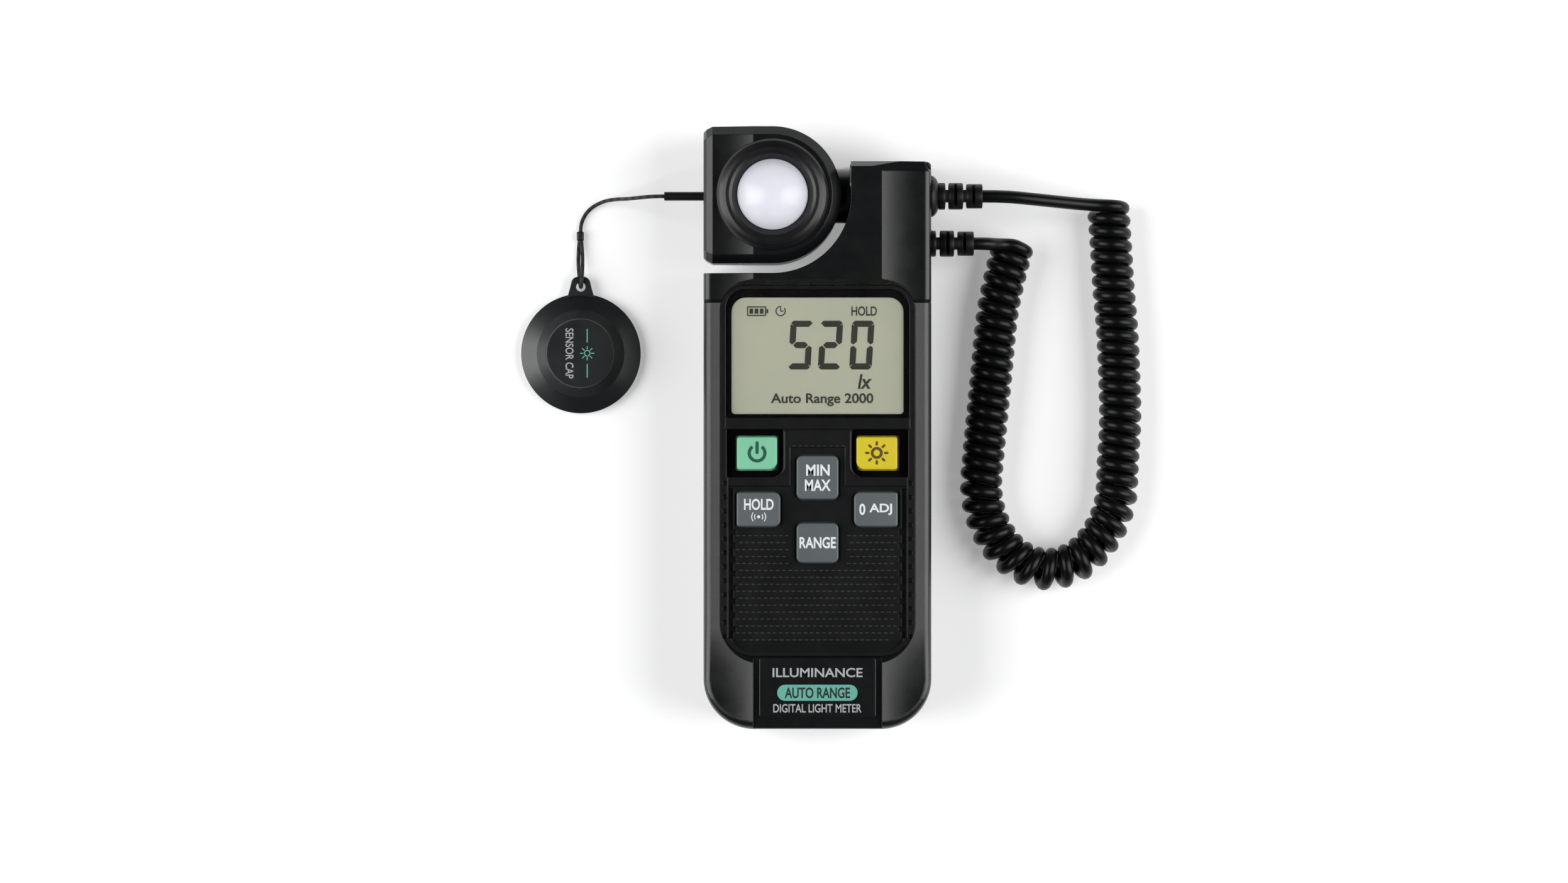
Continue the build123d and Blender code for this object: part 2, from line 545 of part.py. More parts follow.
def sensor_stack():
    """Collar, dome, filter, photodiode and board, on the head's optical axis."""
    collar = Plane.XZ * make_face(Polyline(
        (10.05, 28.6), (14.9, 28.6), (14.9, PLATEAU_Z + SNUG), (15.7, PLATEAU_Z + SNUG),
        (15.6, 32.5), (15.0, 33.2), (14.1, 33.8), (13.1, 34.1), (12.2, 34.0), (11.4, 33.6),
        (10.6, 32.9), (10.05, 32.3), close=True))
    PARTS["sensor_collar"] = Pos(ROUND_X, PIVOT_Y, 0) * revolve(collar, Axis.Z)
    dome_r, dome_rise, dome_base = 9.9, 5.7, 32.4
    sphere_r = (dome_r ** 2 + dome_rise ** 2) / (2 * dome_rise)
    sphere = Pos(0, 0, dome_base + dome_rise - sphere_r) * Sphere(sphere_r)
    cap = sphere & rod_z(dome_r, dome_base, 60, 0, 0)
    inner = Pos(0, 0, dome_base + dome_rise - sphere_r) * Sphere(sphere_r - 1.6)
    dome = cap + rod_z(dome_r, 29.4, dome_base, 0, 0)
    dome -= (inner & rod_z(8.2, 30, 60, 0, 0)) + rod_z(8.2, 29, dome_base, 0, 0)
    PARTS["dome_diffuser"] = Pos(ROUND_X, PIVOT_Y, 0) * dome
    PARTS["optical_filter"] = rod_z(6.0, 27.0, 28.4, ROUND_X, PIVOT_Y)
    PARTS["photodiode"] = rod_z(4.1, 24.2, 26.95, ROUND_X, PIVOT_Y) + rod_z(4.6, 24.0, 24.5, ROUND_X, PIVOT_Y)
    PARTS["sensor_board"] = block(-23.0, -1.8, PIVOT_Y - 9.6, PIVOT_Y + 9.6, 22.4, 23.9)


# Pivot block, spindle and glands


def carriage_parts():
    g = SLOT_GAP
    body = block(ARM_X + 0.05, HALF_W - 0.1, SLOT_Y + g, ARM_TOP_Y - 0.1, SLOT_Z[0] + g, SLOT_Z[1] - g)
    upright = [e for e in body.edges() if e.center().Y > ARM_TOP_Y - 0.2 and abs(e.center().Z - PIVOT_Z) < 0.1]
    body = fillet(upright, 1.2)
    body += block(18.0, 23.0, SLOT_Y + g, ARM_TOP_Y - 0.6, SLOT_Z[0] - 1.1, SLOT_Z[0] + 1)
    body -= rod_x(SPINDLE_R + SNUG, 0, 50, PIVOT_Y, PIVOT_Z)
    PARTS["pivot_block"] = body
    spindle = rod_x(SPINDLE_R, -1.0, HALF_W - 0.3, PIVOT_Y, PIVOT_Z)
    PARTS["pivot_spindle"] = spindle - rod_x(2.2, -5, 50, PIVOT_Y, PIVOT_Z)
    hole = rod_x(SPINDLE_R + SNUG, -5, 5, PIVOT_Y, PIVOT_Z)
    PARTS["spindle_clip"] = rod_x(6.2, -0.7, 0.1, PIVOT_Y, PIVOT_Z) - hole
    washer = rod_x(6.4, 0.2, 1.7, PIVOT_Y, PIVOT_Z) - rod_x(5.2, 0.7, 1.2, PIVOT_Y, PIVOT_Z)
    PARTS["tilt_washer"] = washer - hole
    PARTS["sensor_lead"] = rod_x(1.7, -4.0, HALF_W - 0.12, PIVOT_Y, PIVOT_Z)
    PARTS["upper_gland"] = turned(
        [(31.92, 5.95), (32.3, 5.95), (34.0, 3.9), (34.2, 3.75), (35.8, 3.75), (35.8, 2.25), (37.0, 2.25),
         (37.0, 3.75), (41.0, 3.75), (41.0, 2.25), (42.0, 2.25), (42.0, 3.45), (GLAND_END_UPPER, 2.9)],
        (0, PIVOT_Y, PIVOT_Z), "x")
    PARTS["lower_gland"] = turned(
        [(25.6, 3.0), (32.1, 3.0), (32.1, 3.75), (33.5, 3.75), (33.5, 2.1), (35.0, 2.1), (35.0, 3.7),
         (38.8, 3.7), (38.8, 2.1), (39.7, 2.1), (39.7, 3.45), (GLAND_END_LOWER, 2.9)],
        (0, GLAND_Y, PART_Z), "x")


def cord_parts():
    PARTS["cord_upper_lead"] = cord_tube("cord_upper_lead", UPPER_LEAD, CORD_R)
    PARTS["cord_lower_lead"] = cord_tube("cord_lower_lead", LOWER_LEAD, CORD_R)
    PARTS["cord_coil"] = cord_tube("cord_coil", COIL_AXIS, COIL_R)


# Strap and cap


def strap_parts():
    sleeve = rod_x(1.25, -43.2, -HALF_W - 0.05, PIVOT_Y, PIVOT_Z)
    PARTS["strap_sleeve"] = sleeve
    PARTS["strap_cord"] = cord_tube("strap_cord", STRAP_ROUTE, STRAP_R)
    PARTS["strap_loop"] = cord_tube("strap_loop", LOOP_ROUTE, STRAP_R)
    bead = even_plate((-68.6, -66.6, 53.35, 56.05), 0.05, 2.2, 0.4)
    PARTS["strap_crimp"] = fillet(bead.edges().filter_by(Axis.Y), 0.6)


def sensor_cap():
    cap = turned(CAP_PROFILE, (0, 0, 0), "z")
    outline = TAB_HALF_OUTLINE + [(-x, y) for x, y in reversed(TAB_HALF_OUTLINE)]
    tab = make_face(Polyline(*outline, close=True))
    tip_y = TAB_HALF_OUTLINE[-1][1]
    tab = fillet([v for v in tab.vertices() if v.Y > tip_y - 0.1], TAB_ROUND)
    tab = Pos(0, 0, TAB_Z[0]) * extrude(tab, TAB_Z[1] - TAB_Z[0])
    cap += tab - rod_z(CAP_R - 0.6, -5, 10, 0, 0)
    cap -= turned(CAP_ROOM, (0, 0, 0), "z")
    cap -= rod_z(EYELET_R, -5, 10, 0, EYELET_Y - CAP_Y)
    PARTS["sensor_cap"] = Pos(CAP_X, CAP_Y, 0) * cap


def main():
    case_parts()
    PARTS["face_panel"] = face_panel()
    display_parts()
    electronics()
    battery_parts()
    head_parts()
    carriage_parts()
    cord_parts()
    strap_parts()
    sensor_cap()
    os.makedirs("parts", exist_ok=True)
    for name, solid in PARTS.items():
        export_step(solid, f"parts/{name}.step")
    print(len(PARTS), "parts written")


main()
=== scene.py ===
"""A hand-held light meter with a docked sensor head, a curly cord and a cap on a strap.

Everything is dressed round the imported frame, in its metres. Sizes and places here are millimetres.
"""
import json
import math

import bmesh
import bpy
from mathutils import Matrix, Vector


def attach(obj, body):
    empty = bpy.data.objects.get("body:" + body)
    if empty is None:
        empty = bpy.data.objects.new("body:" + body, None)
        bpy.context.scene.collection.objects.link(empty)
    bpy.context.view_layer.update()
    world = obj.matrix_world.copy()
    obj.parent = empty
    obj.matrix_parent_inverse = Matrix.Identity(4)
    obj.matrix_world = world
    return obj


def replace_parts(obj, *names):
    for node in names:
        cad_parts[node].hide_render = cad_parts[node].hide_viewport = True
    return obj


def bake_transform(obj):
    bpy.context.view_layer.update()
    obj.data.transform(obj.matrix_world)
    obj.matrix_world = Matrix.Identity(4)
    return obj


MM = 0.001

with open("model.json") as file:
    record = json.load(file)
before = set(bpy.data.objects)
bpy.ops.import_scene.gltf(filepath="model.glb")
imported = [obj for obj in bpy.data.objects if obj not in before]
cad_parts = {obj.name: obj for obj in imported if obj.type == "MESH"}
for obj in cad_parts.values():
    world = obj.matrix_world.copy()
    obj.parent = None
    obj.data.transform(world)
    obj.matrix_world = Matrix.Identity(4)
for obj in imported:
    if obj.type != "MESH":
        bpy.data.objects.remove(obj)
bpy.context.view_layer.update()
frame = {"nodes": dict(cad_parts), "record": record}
NODES = frame["nodes"]

scene = bpy.context.scene


def mm(*values):
    """Millimetres as metres."""
    return tuple(value * MM for value in values)


# Camera: straight down on the meter's face, a long lens

VIEW_WIDTH = 443.7       # width of the table that the frame shows
VIEW_AT = (-9.4, -3.9, 16.0)
VIEW_DISTANCE = 1500.0
SENSOR_WIDTH = 36.0
NEAREST_SEEN = 10.0


def make_camera():
    data = bpy.data.cameras.new("camera")
    data.sensor_width = SENSOR_WIDTH
    data.lens = SENSOR_WIDTH * VIEW_DISTANCE / VIEW_WIDTH
    data.clip_start = NEAREST_SEEN * MM
    camera = bpy.data.objects.new("camera", data)
    camera.location = mm(VIEW_AT[0], VIEW_AT[1], VIEW_AT[2] + VIEW_DISTANCE)
    scene.collection.objects.link(camera)
    scene.camera = camera


make_camera()


# Node materials


def new_material(name):
    material = bpy.data.materials.new(name)
    material.use_nodes = True
    tree = material.node_tree
    return material, tree, tree.nodes["Principled BSDF"]


def noise(tree, size, detail=2.0, stretch=(1, 1, 1)):
    """A noise value with features of about this size."""
    coords = tree.nodes.new("ShaderNodeTexCoord")
    mapping = tree.nodes.new("ShaderNodeMapping")
    mapping.inputs["Scale"].default_value = stretch
    node = tree.nodes.new("ShaderNodeTexNoise")
    node.inputs["Scale"].default_value = 1 / (size * MM)
    node.inputs["Detail"].default_value = detail
    tree.links.new(coords.outputs["Object"], mapping.inputs["Vector"])
    tree.links.new(mapping.outputs["Vector"], node.inputs["Vector"])
    return node.outputs["Fac"]


def remap(tree, value, low, high, source=(0.3, 0.7)):
    """The value with its source range spread from low to high. Noise lies mostly between 0.3 and 0.7."""
    node = tree.nodes.new("ShaderNodeMapRange")
    node.inputs["From Min"].default_value, node.inputs["From Max"].default_value = source
    node.inputs["To Min"].default_value = low
    node.inputs["To Max"].default_value = high
    tree.links.new(value, node.inputs["Value"])
    return node.outputs["Result"]


def tinted(tree, value, dark, light):
    """A colour between dark and light by a value from 0 to 1."""
    node = tree.nodes.new("ShaderNodeMix")
    node.data_type = "RGBA"
    node.inputs["A"].default_value = (*dark, 1)
    node.inputs["B"].default_value = (*light, 1)
    tree.links.new(value, node.inputs["Factor"])
    return node.outputs["Result"]


def rounded_edges(tree, radius):
    """A normal that rounds hard edges by this radius."""
    node = tree.nodes.new("ShaderNodeBevel")
    node.samples = 4
    node.inputs["Radius"].default_value = radius * MM
    return node.outputs["Normal"]


def bumped(tree, height, depth, normal=None):
    """A normal for a height from 0 to 1 that stands for this depth."""
    node = tree.nodes.new("ShaderNodeBump")
    node.inputs["Distance"].default_value = depth * MM
    tree.links.new(height, node.inputs["Height"])
    if normal is not None:
        tree.links.new(normal, node.inputs["Normal"])
    return node.outputs["Normal"]


def shade(color, factor):
    return tuple(channel * factor for channel in color)


FACET_X = 18.0                     # the flat top ends here and the shoulders start
SHOULDER_TOP_Y = (35.2, 36.0)      # above the display the shoulders flatten at once
SHOULDER_LOW_Y = (-76.0, -56.0)    # below the keys they flatten little by little
SHOULDER_MIDDLE = 0.22             # share of the flattening that the middle has too
SHOULDER_CURVE = 0.0075            # rise for each square millimetre from the facet line
FRONT_FACING = (0.2, 0.6)          # upward share of a normal, from a side wall to the front


def shoulder_normal(tree, normal):
    """A normal that flattens the front's sloped shoulders outwards, most of all at the two ends."""
    coords = tree.nodes.new("ShaderNodeTexCoord")
    split = tree.nodes.new("ShaderNodeSeparateXYZ")
    tree.links.new(coords.outputs["Object"], split.inputs["Vector"])

    def calc(operation, a, b=None):
        node = tree.nodes.new("ShaderNodeMath")
        node.operation = operation
        for socket, value in zip(node.inputs, (a, b)):
            if isinstance(value, (int, float)):
                socket.default_value = value
            elif value is not None:
                tree.links.new(value, socket)
        return node.outputs["Value"]

    out = calc("MAXIMUM", calc("SUBTRACT", calc("ABSOLUTE", split.outputs["X"]), FACET_X * MM), 0.0)
    above = remap(tree, split.outputs["Y"], 0, 1, mm(*SHOULDER_TOP_Y))
    below = remap(tree, split.outputs["Y"], 1, 0, mm(*SHOULDER_LOW_Y))
    strength = calc("ADD", calc("MAXIMUM", above, below), SHOULDER_MIDDLE)
    facing = tree.nodes.new("ShaderNodeSeparateXYZ")
    tree.links.new(coords.outputs["Normal"], facing.inputs["Vector"])
    front = remap(tree, facing.outputs["Z"], 0, 1, FRONT_FACING)
    height = calc("MULTIPLY", calc("MULTIPLY", out, out), calc("MULTIPLY", strength, front))
    node = tree.nodes.new("ShaderNodeBump")
    node.inputs["Distance"].default_value = SHOULDER_CURVE / MM
    tree.links.new(height, node.inputs["Height"])
    tree.links.new(normal, node.inputs["Normal"])
    return node.outputs["Normal"]


def moulded(name, color, roughness, grain=0.35, depth=0.02, edge=0.25, spread=0.05, contrast=0.12,
            shoulders=False, specular=0.5):
    """Moulded plastic or rubber: fine texture, cloudy gloss, slightly uneven colour and rounded edges."""
    material, tree, shader = new_material(name)
    cloud = noise(tree, 14.0, 3.0)
    tree.links.new(
        tinted(tree, remap(tree, cloud, 0, 1), shade(color, 1 - contrast), shade(color, 1 + contrast)),
        shader.inputs["Base Color"])
    smudge = noise(tree, 5.0, 4.0)
    tree.links.new(
        remap(tree, smudge, roughness - spread / 2, roughness + spread / 2), shader.inputs["Roughness"])
    normal = rounded_edges(tree, edge) if edge else None
    if shoulders:
        normal = shoulder_normal(tree, normal)
    tree.links.new(bumped(tree, noise(tree, grain, 2.0), depth, normal), shader.inputs["Normal"])
    shader.inputs["Specular IOR Level"].default_value = specular
    return material


def printed(name, color, roughness=0.5):
    """Screen-printed ink, with slightly uneven cover."""
    material, tree, shader = new_material(name)
    cover = noise(tree, 0.4, 2.0)
    tree.links.new(
        tinted(tree, remap(tree, cover, 0, 1), shade(color, 0.93), color), shader.inputs["Base Color"])
    tree.links.new(remap(tree, cover, roughness + 0.08, roughness), shader.inputs["Roughness"])
    return material


def metal(name, color, roughness, stretch):
    """Turned metal, with fine marks that are drawn out along one axis."""
    material, tree, shader = new_material(name)
    shader.inputs["Metallic"].default_value = 1.0
    brushing = noise(tree, 0.6, 3.0, stretch)
    tree.links.new(
        tinted(tree, remap(tree, brushing, 0, 1), shade(color, 0.85), color), shader.inputs["Base Color"])
    tree.links.new(
        remap(tree, brushing, roughness - 0.08, roughness + 0.1), shader.inputs["Roughness"])
    tree.links.new(bumped(tree, brushing, 0.01, rounded_edges(tree, 0.15)), shader.inputs["Normal"])
    return material


def opal(name):
    """Translucent white acrylic with a soft skin."""
    material, tree, shader = new_material(name)
    cloud = noise(tree, 6.0, 2.0)
    tree.links.new(
        tinted(tree, remap(tree, cloud, 0, 1), (0.80, 0.81, 0.90), (0.86, 0.86, 0.93)),
        shader.inputs["Base Color"])
    tree.links.new(remap(tree, cloud, 0.3, 0.36), shader.inputs["Roughness"])
    tree.links.new(bumped(tree, noise(tree, 0.25, 2.0), 0.004), shader.inputs["Normal"])
    shader.inputs["Subsurface Weight"].default_value = 0.35
    shader.inputs["Subsurface Scale"].default_value = 2.0 * MM
    shader.inputs["Subsurface Radius"].default_value = (1.0, 1.0, 1.1)
    return material


def clear_window(name):
    """Clear acrylic that lets the light of lamps through to the display."""
    material, tree, shader = new_material(name)
    shader.inputs["Base Color"].default_value = (1, 1, 1, 1)
    shader.inputs["Transmission Weight"].default_value = 1.0
    shader.inputs["IOR"].default_value = 1.49
    haze = noise(tree, 9.0, 3.0)
    tree.links.new(remap(tree, haze, 0.02, 0.05), shader.inputs["Roughness"])
    through = tree.nodes.new("ShaderNodeBsdfTransparent")
    through.inputs["Color"].default_value = (0.96, 0.97, 0.96, 1)
    rays = tree.nodes.new("ShaderNodeLightPath")
    mix = tree.nodes.new("ShaderNodeMixShader")
    tree.links.new(rays.outputs["Is Shadow Ray"], mix.inputs["Fac"])
    tree.links.new(shader.outputs["BSDF"], mix.inputs[1])
    tree.links.new(through.outputs["BSDF"], mix.inputs[2])
    tree.links.new(mix.outputs["Shader"], tree.nodes["Material Output"].inputs["Surface"])
    return material


def display_film(name):
    """The grey-green reflector of a passive display: faint pearl and a fine vertical rub."""
    material, tree, shader = new_material(name)
    pearl = noise(tree, 11.0, 3.0)
    tree.links.new(
        tinted(tree, remap(tree, pearl, 0, 1), (0.245, 0.252, 0.19), (0.26, 0.263, 0.20)),
        shader.inputs["Base Color"])
    rub = noise(tree, 0.3, 2.0, (1, 0.12, 1))
    tree.links.new(remap(tree, rub, 0.38, 0.5), shader.inputs["Roughness"])
    tree.links.new(bumped(tree, rub, 0.002), shader.inputs["Normal"])
    return material


BRAID_PITCH = 0.9
BRAID_SLANT = 35         # degrees


def braided(name, color):
    """Braided cord: two sets of slanting strands."""
    material, tree, shader = new_material(name)
    coords = tree.nodes.new("ShaderNodeTexCoord")
    heights = []
    for slant in (1, -1):
        mapping = tree.nodes.new("ShaderNodeMapping")
        mapping.inputs["Rotation"].default_value = (0, 0, slant * math.radians(BRAID_SLANT))
        wave = tree.nodes.new("ShaderNodeTexWave")
        wave.inputs["Scale"].default_value = 1 / (BRAID_PITCH * MM) / (2 * math.pi)
        wave.inputs["Distortion"].default_value = 0.4
        tree.links.new(coords.outputs["Object"], mapping.inputs["Vector"])
        tree.links.new(mapping.outputs["Vector"], wave.inputs["Vector"])
        heights.append(wave.outputs["Fac"])
    both = tree.nodes.new("ShaderNodeMath")
    both.operation = "MAXIMUM"
    tree.links.new(heights[0], both.inputs[0])
    tree.links.new(heights[1], both.inputs[1])
    weave = both.outputs["Value"]
    # The weave is darker in its low grooves and lighter on the strands' crests: painted shade and painted
    # highlight.
    tree.links.new(tinted(tree, weave, shade(color, 0.5), shade(color, 1.4)), shader.inputs["Base Color"])
    tree.links.new(remap(tree, weave, 0.9, 0.65, (0, 1)), shader.inputs["Roughness"])
    tree.links.new(bumped(tree, weave, 0.08), shader.inputs["Normal"])
    shader.inputs["Sheen Weight"].default_value = 0.2
    shader.inputs["Sheen Roughness"].default_value = 0.4
    return material


BLACK = (0.0042, 0.0046, 0.005)
KEY_GREY = (0.10, 0.115, 0.118)
TEAL = (0.12, 0.42, 0.34)

MATERIALS = {
    "case_black": moulded("case_black", BLACK, 0.28, grain=0.3, depth=0.008, shoulders=True),
    "head_black": moulded(
        "head_black", BLACK, 0.28, grain=0.3, depth=0.008, edge=0.4, shoulders=True, specular=0.42),
    "panel_black": moulded(
        "panel_black", (0.0048, 0.005, 0.0056), 0.34, grain=0.25, depth=0.008, edge=0.4, specular=0.36),
    "nameplate_black": moulded("nameplate_black", (0.0035, 0.004, 0.0044), 0.3, grain=0.3, depth=0.008),
    "collar_black": moulded("collar_black", (0.004, 0.004, 0.0046), 0.34, grain=0.4, depth=0.006),
    "cap_black": moulded("cap_black", (0.008, 0.0094, 0.0099), 0.34, grain=0.35, depth=0.01, specular=0.65),
    "seal_rubber": moulded("seal_rubber", (0.006, 0.006, 0.006), 0.75, grain=0.5, edge=0),
    "cord_black": moulded(
        "cord_black", (0.003, 0.0031, 0.0033), 0.32, grain=0.5, depth=0.012, edge=0, specular=0.22),
    "gland_rubber": moulded(
        "gland_rubber", (0.004, 0.0041, 0.0043), 0.42, grain=0.4, edge=0.2, specular=0.3),
    "strap_cord": braided("strap_cord", (0.012, 0.012, 0.012)),
    "crimp": moulded("crimp", (0.0015, 0.0015, 0.0015), 0.45, grain=0.5, edge=0.15),
    "dome_white": opal("dome_white"),
    "window_clear": clear_window("window_clear"),
    "mask_black": moulded(
        "mask_black", (0.0012, 0.0012, 0.0012), 0.25, grain=0.2, depth=0.004, edge=0, specular=0.2),
    "lcd": display_film("lcd"),
    "light_guide": moulded("light_guide", (0.7, 0.7, 0.66), 0.4, grain=0.5, edge=0.1),
    "zebra": moulded("zebra", (0.25, 0.25, 0.24), 0.8, grain=0.3, edge=0.1),
    "board_green": moulded("board_green", (0.01, 0.11, 0.05), 0.32, grain=0.6, edge=0.1),
    "chip_black": moulded("chip_black", (0.02, 0.02, 0.021), 0.6, grain=0.25, edge=0.12),
    "steel": metal("steel", (0.56, 0.56, 0.57), 0.32, (1, 1, 0.2)),
    "brass": metal("brass", (0.75, 0.53, 0.24), 0.3, (1, 1, 0.2)),
    "cell": moulded("cell", (0.10, 0.11, 0.14), 0.28, grain=1.0, depth=0.006, edge=0.2),
    "silicone": moulded("silicone", (0.35, 0.36, 0.37), 0.65, grain=0.5, edge=0.2),
    "lead_jacket": moulded("lead_jacket", (0.15, 0.15, 0.15), 0.6, grain=0.5, edge=0),
    "filter_green": moulded("filter_green", (0.10, 0.30, 0.16), 0.15, grain=1.0, depth=0.002, edge=0.1),
    "key_green": moulded("key_green", (0.21, 0.56, 0.36), 0.42, grain=0.3, depth=0.008, contrast=0.04),
    "key_yellow": moulded("key_yellow", (0.66, 0.53, 0.02), 0.42, grain=0.3, depth=0.008, contrast=0.04),
    "key_grey": moulded("key_grey", KEY_GREY, 0.42, grain=0.3, depth=0.008, contrast=0.06),
}
INKS = {
    "ink_white": printed("ink_white", (0.80, 0.82, 0.83)),
    "ink_grey": printed("ink_grey", (0.42, 0.44, 0.44)),
    "ink_teal": printed("ink_teal", TEAL),
    "ink_dark": printed("ink_dark", (0.008, 0.014, 0.014)),
    "ink_green": printed("ink_green", (0.004, 0.085, 0.045)),
    "ink_brown": printed("ink_brown", (0.10, 0.055, 0.002)),
    "lcd_dark": printed("lcd_dark", (0.012, 0.012, 0.006), 0.35),
}


def finish_with(obj, material):
    """Gives the object this one material."""
    obj.data.materials.clear()
    obj.data.materials.append(material)


for subpart in frame["record"]["subparts"]:
    finish_with(NODES[subpart["node"]], MATERIALS[subpart["material_slot"]])


def dress(obj, body, slot, material=None):
    """Gives a piece its material, or else the material of this slot, and the body that it rides on."""
    finish_with(obj, material or MATERIALS[slot])
    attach(obj, body)
    return obj


def mesh_object(name, mesh):
    obj = bpy.data.objects.new(name, mesh)
    scene.collection.objects.link(obj)
    return obj


SAME_PLACE = 0.0001      # points closer than this are one


def from_bmesh(name, bm, smooth_below=35):
    """A mesh object from a bmesh, shaded smooth where its faces meet at less than this many degrees."""
    bmesh.ops.remove_doubles(bm, verts=bm.verts, dist=SAME_PLACE * MM)
    bmesh.ops.recalc_face_normals(bm, faces=bm.faces)
    for face in bm.faces:
        face.smooth = True
    for edge in bm.edges:
        if len(edge.link_faces) == 2 and edge.calc_face_angle(0) > math.radians(smooth_below):
            edge.smooth = False
    mesh = bpy.data.meshes.new(name)
    bm.to_mesh(mesh)
    bm.free()
    return mesh_object(name, mesh)


# Curly cord: one free cord from the case's gland, through its coil, to the gland on the carriage

CORD_DIAMETER = 3.6
HELIX_RADIUS = 4.3       # of the coil's centreline
HELIX_STEPS = 16         # points for each turn
LEG_PITCH = 3.67         # turns lie this far apart where the coil is straight
AXIS_Z = 6.15
# a spline of order 3 cuts inside its points, so that a helix on points at this radius comes out true
HELIX_POINT_RADIUS = HELIX_RADIUS / math.cos(math.pi / HELIX_STEPS)
AXIS_STEP = 0.1          # the coil's axis is read in steps of this
AXIS_REACH = 20          # steps each way over which its direction is taken

COIL_AXIS = [
    (55.8, 51.9), (52.2, 38.5), (50.7, 27.5), (49.7, 15.5), (48.4, 3.0), (47.3, -8.5),
    (46.4, -18.5), (49.0, -28.5), (55.0, -36.8), (63.8, -40.9), (73.5, -38.9), (80.6, -32.0),
    (85.3, -22.0), (85.6, -10.5), (86.5, 2.0), (86.1, 14.5), (85.6, 27.5), (84.4, 39.5),
    (83.8, 51.0), (82.9, 63.1),
]
UPPER_LEAD = [           # from the carriage's gland to the coil's top
    (46.62, 65.3, 19.5), (53.0, 65.3, 19.5), (60.5, 64.6, 18.2), (68.5, 63.9, 15.2),
    (75.2, 63.4, 11.9), (79.8, 63.15, 10.6),
]
LOWER_LEAD = [(44.32, 52.1, 15.0), (47.8, 52.1, 15.0), (50.4, 52.0, 12.6), (53.0, 52.0, 10.7)]
CORD_RESOLUTION = 3      # steps between two of the helix's points


def nurbs(name, points, resolution, bevel=0.0):
    """A curve object of one smooth open spline with these control points; a bevel makes it a tube."""
    curve = bpy.data.curves.new(name, "CURVE")
    curve.dimensions = "3D"
    curve.resolution_u = resolution
    spline = curve.splines.new("NURBS")
    spline.points.add(len(points) - 1)
    for target, point in zip(spline.points, points):
        target.co = (*mm(*point), 1)
    spline.order_u = 3
    spline.use_endpoint_u = True
    curve.bevel_depth = bevel * MM
    curve.bevel_resolution = 4
    curve.use_fill_caps = bevel > 0
    obj = bpy.data.objects.new(name, curve)
    scene.collection.objects.link(obj)
    return obj


def line_of(curve_object):
    """The points that a curve without a bevel runs through."""
    mesh = bpy.data.meshes.new_from_object(curve_object)
    points = [vertex.co / MM for vertex in mesh.vertices]
    bpy.data.meshes.remove(mesh)
    return points


def discard(curve_object):
    curve = curve_object.data
    bpy.data.objects.remove(curve_object)
    bpy.data.curves.remove(curve)


def evenly(points, step):
    """Points this far apart along a line."""
    out = [points[0]]
    left = step
    for a, b in zip(points, points[1:]):
        run = (b - a).length
        while run >= left:
            a = a + (b - a) * (left / run)
            out.append(a)
            run = (b - a).length
            left = step
        left -= run
    return out


def coil_points():
    """Points of the helix round the coil's axis, from the lower lead's end to the upper lead's."""
    route = nurbs("coil_axis", [(x, y, AXIS_Z) for x, y in COIL_AXIS], 24)
    axis = evenly(line_of(route), AXIS_STEP)
    discard(route)
    last = len(axis) - 1
    around = [(max(i - AXIS_REACH, 0), min(i + AXIS_REACH, last)) for i in range(last + 1)]
    tangents = [(axis[ahead] - axis[behind]).normalized() for behind, ahead in around]
    # the turns stay as close along a bend's inner side as they are in a leg, so their pitch grows there
    turned = [0.0]
    for behind, ahead in around[1:]:
        bend = tangents[ahead].angle(tangents[behind]) / (AXIS_STEP * (ahead - behind))
        pitch = LEG_PITCH / (1 - bend * HELIX_RADIUS)
        turned.append(turned[-1] + AXIS_STEP / pitch)
    turns = round(turned[-1])
    scale = turns / turned[-1]
    points = []
    place = 0
    for k in range(turns * HELIX_STEPS + 1):
        wanted = k / HELIX_STEPS
        while place < last - 1 and turned[place + 1] * scale < wanted:
            place += 1
        span = (turned[place + 1] - turned[place]) * scale
        share = min(1.0, max(0.0, (wanted - turned[place] * scale) / span))
        centre = axis[place].lerp(axis[place + 1], share)
        tangent = tangents[place].lerp(tangents[place + 1], share).normalized()
        across = tangent.cross(Vector((0, 0, 1)))
        angle = math.pi / 2 + 2 * math.pi * wanted
        ring = across * math.cos(angle) + Vector((0, 0, math.sin(angle)))
        points.append(centre + ring * HELIX_POINT_RADIUS)
    return points


def cord_half(name, points):
    """One half of the curly cord as a tube on its own spline."""
    bare = nurbs("cord_line", points, CORD_RESOLUTION)
    path = [tuple(p * MM) for p in line_of(bare)]
    discard(bare)
    tube = nurbs("cord_round", points, CORD_RESOLUTION, CORD_DIAMETER / 2)
    mesh = bpy.data.meshes.new_from_object(tube)
    discard(tube)
    for polygon in mesh.polygons:
        polygon.use_smooth = True
    cord = mesh_object(name, mesh)
    finish_with(cord, MATERIALS["cord_black"])
    return cord


def curly_cord():
    """One cord in two halves, which meet at the foot of its bend."""
    coil = coil_points()
    foot = min(range(len(coil)), key=lambda i: coil[i].y)
    meeting = (coil[foot] + coil[foot + 1]) / 2
    lower = LOWER_LEAD + [tuple(p) for p in coil[:foot + 1] + [meeting]]
    upper = UPPER_LEAD + [tuple(p) for p in list(reversed(coil[foot + 1:])) + [meeting]]
    half = cord_half("curly_cord_lower", lower)
    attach(half, "case")
    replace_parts(half, "cord_coil", "cord_lower_lead")
    half = cord_half("curly_cord_upper", upper)
    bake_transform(half)
    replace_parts(half, "cord_upper_lead")


curly_cord()


# Cap strap: a thin braided cord from the sleeve, down to the table, through a crimp and the cap's eyelet

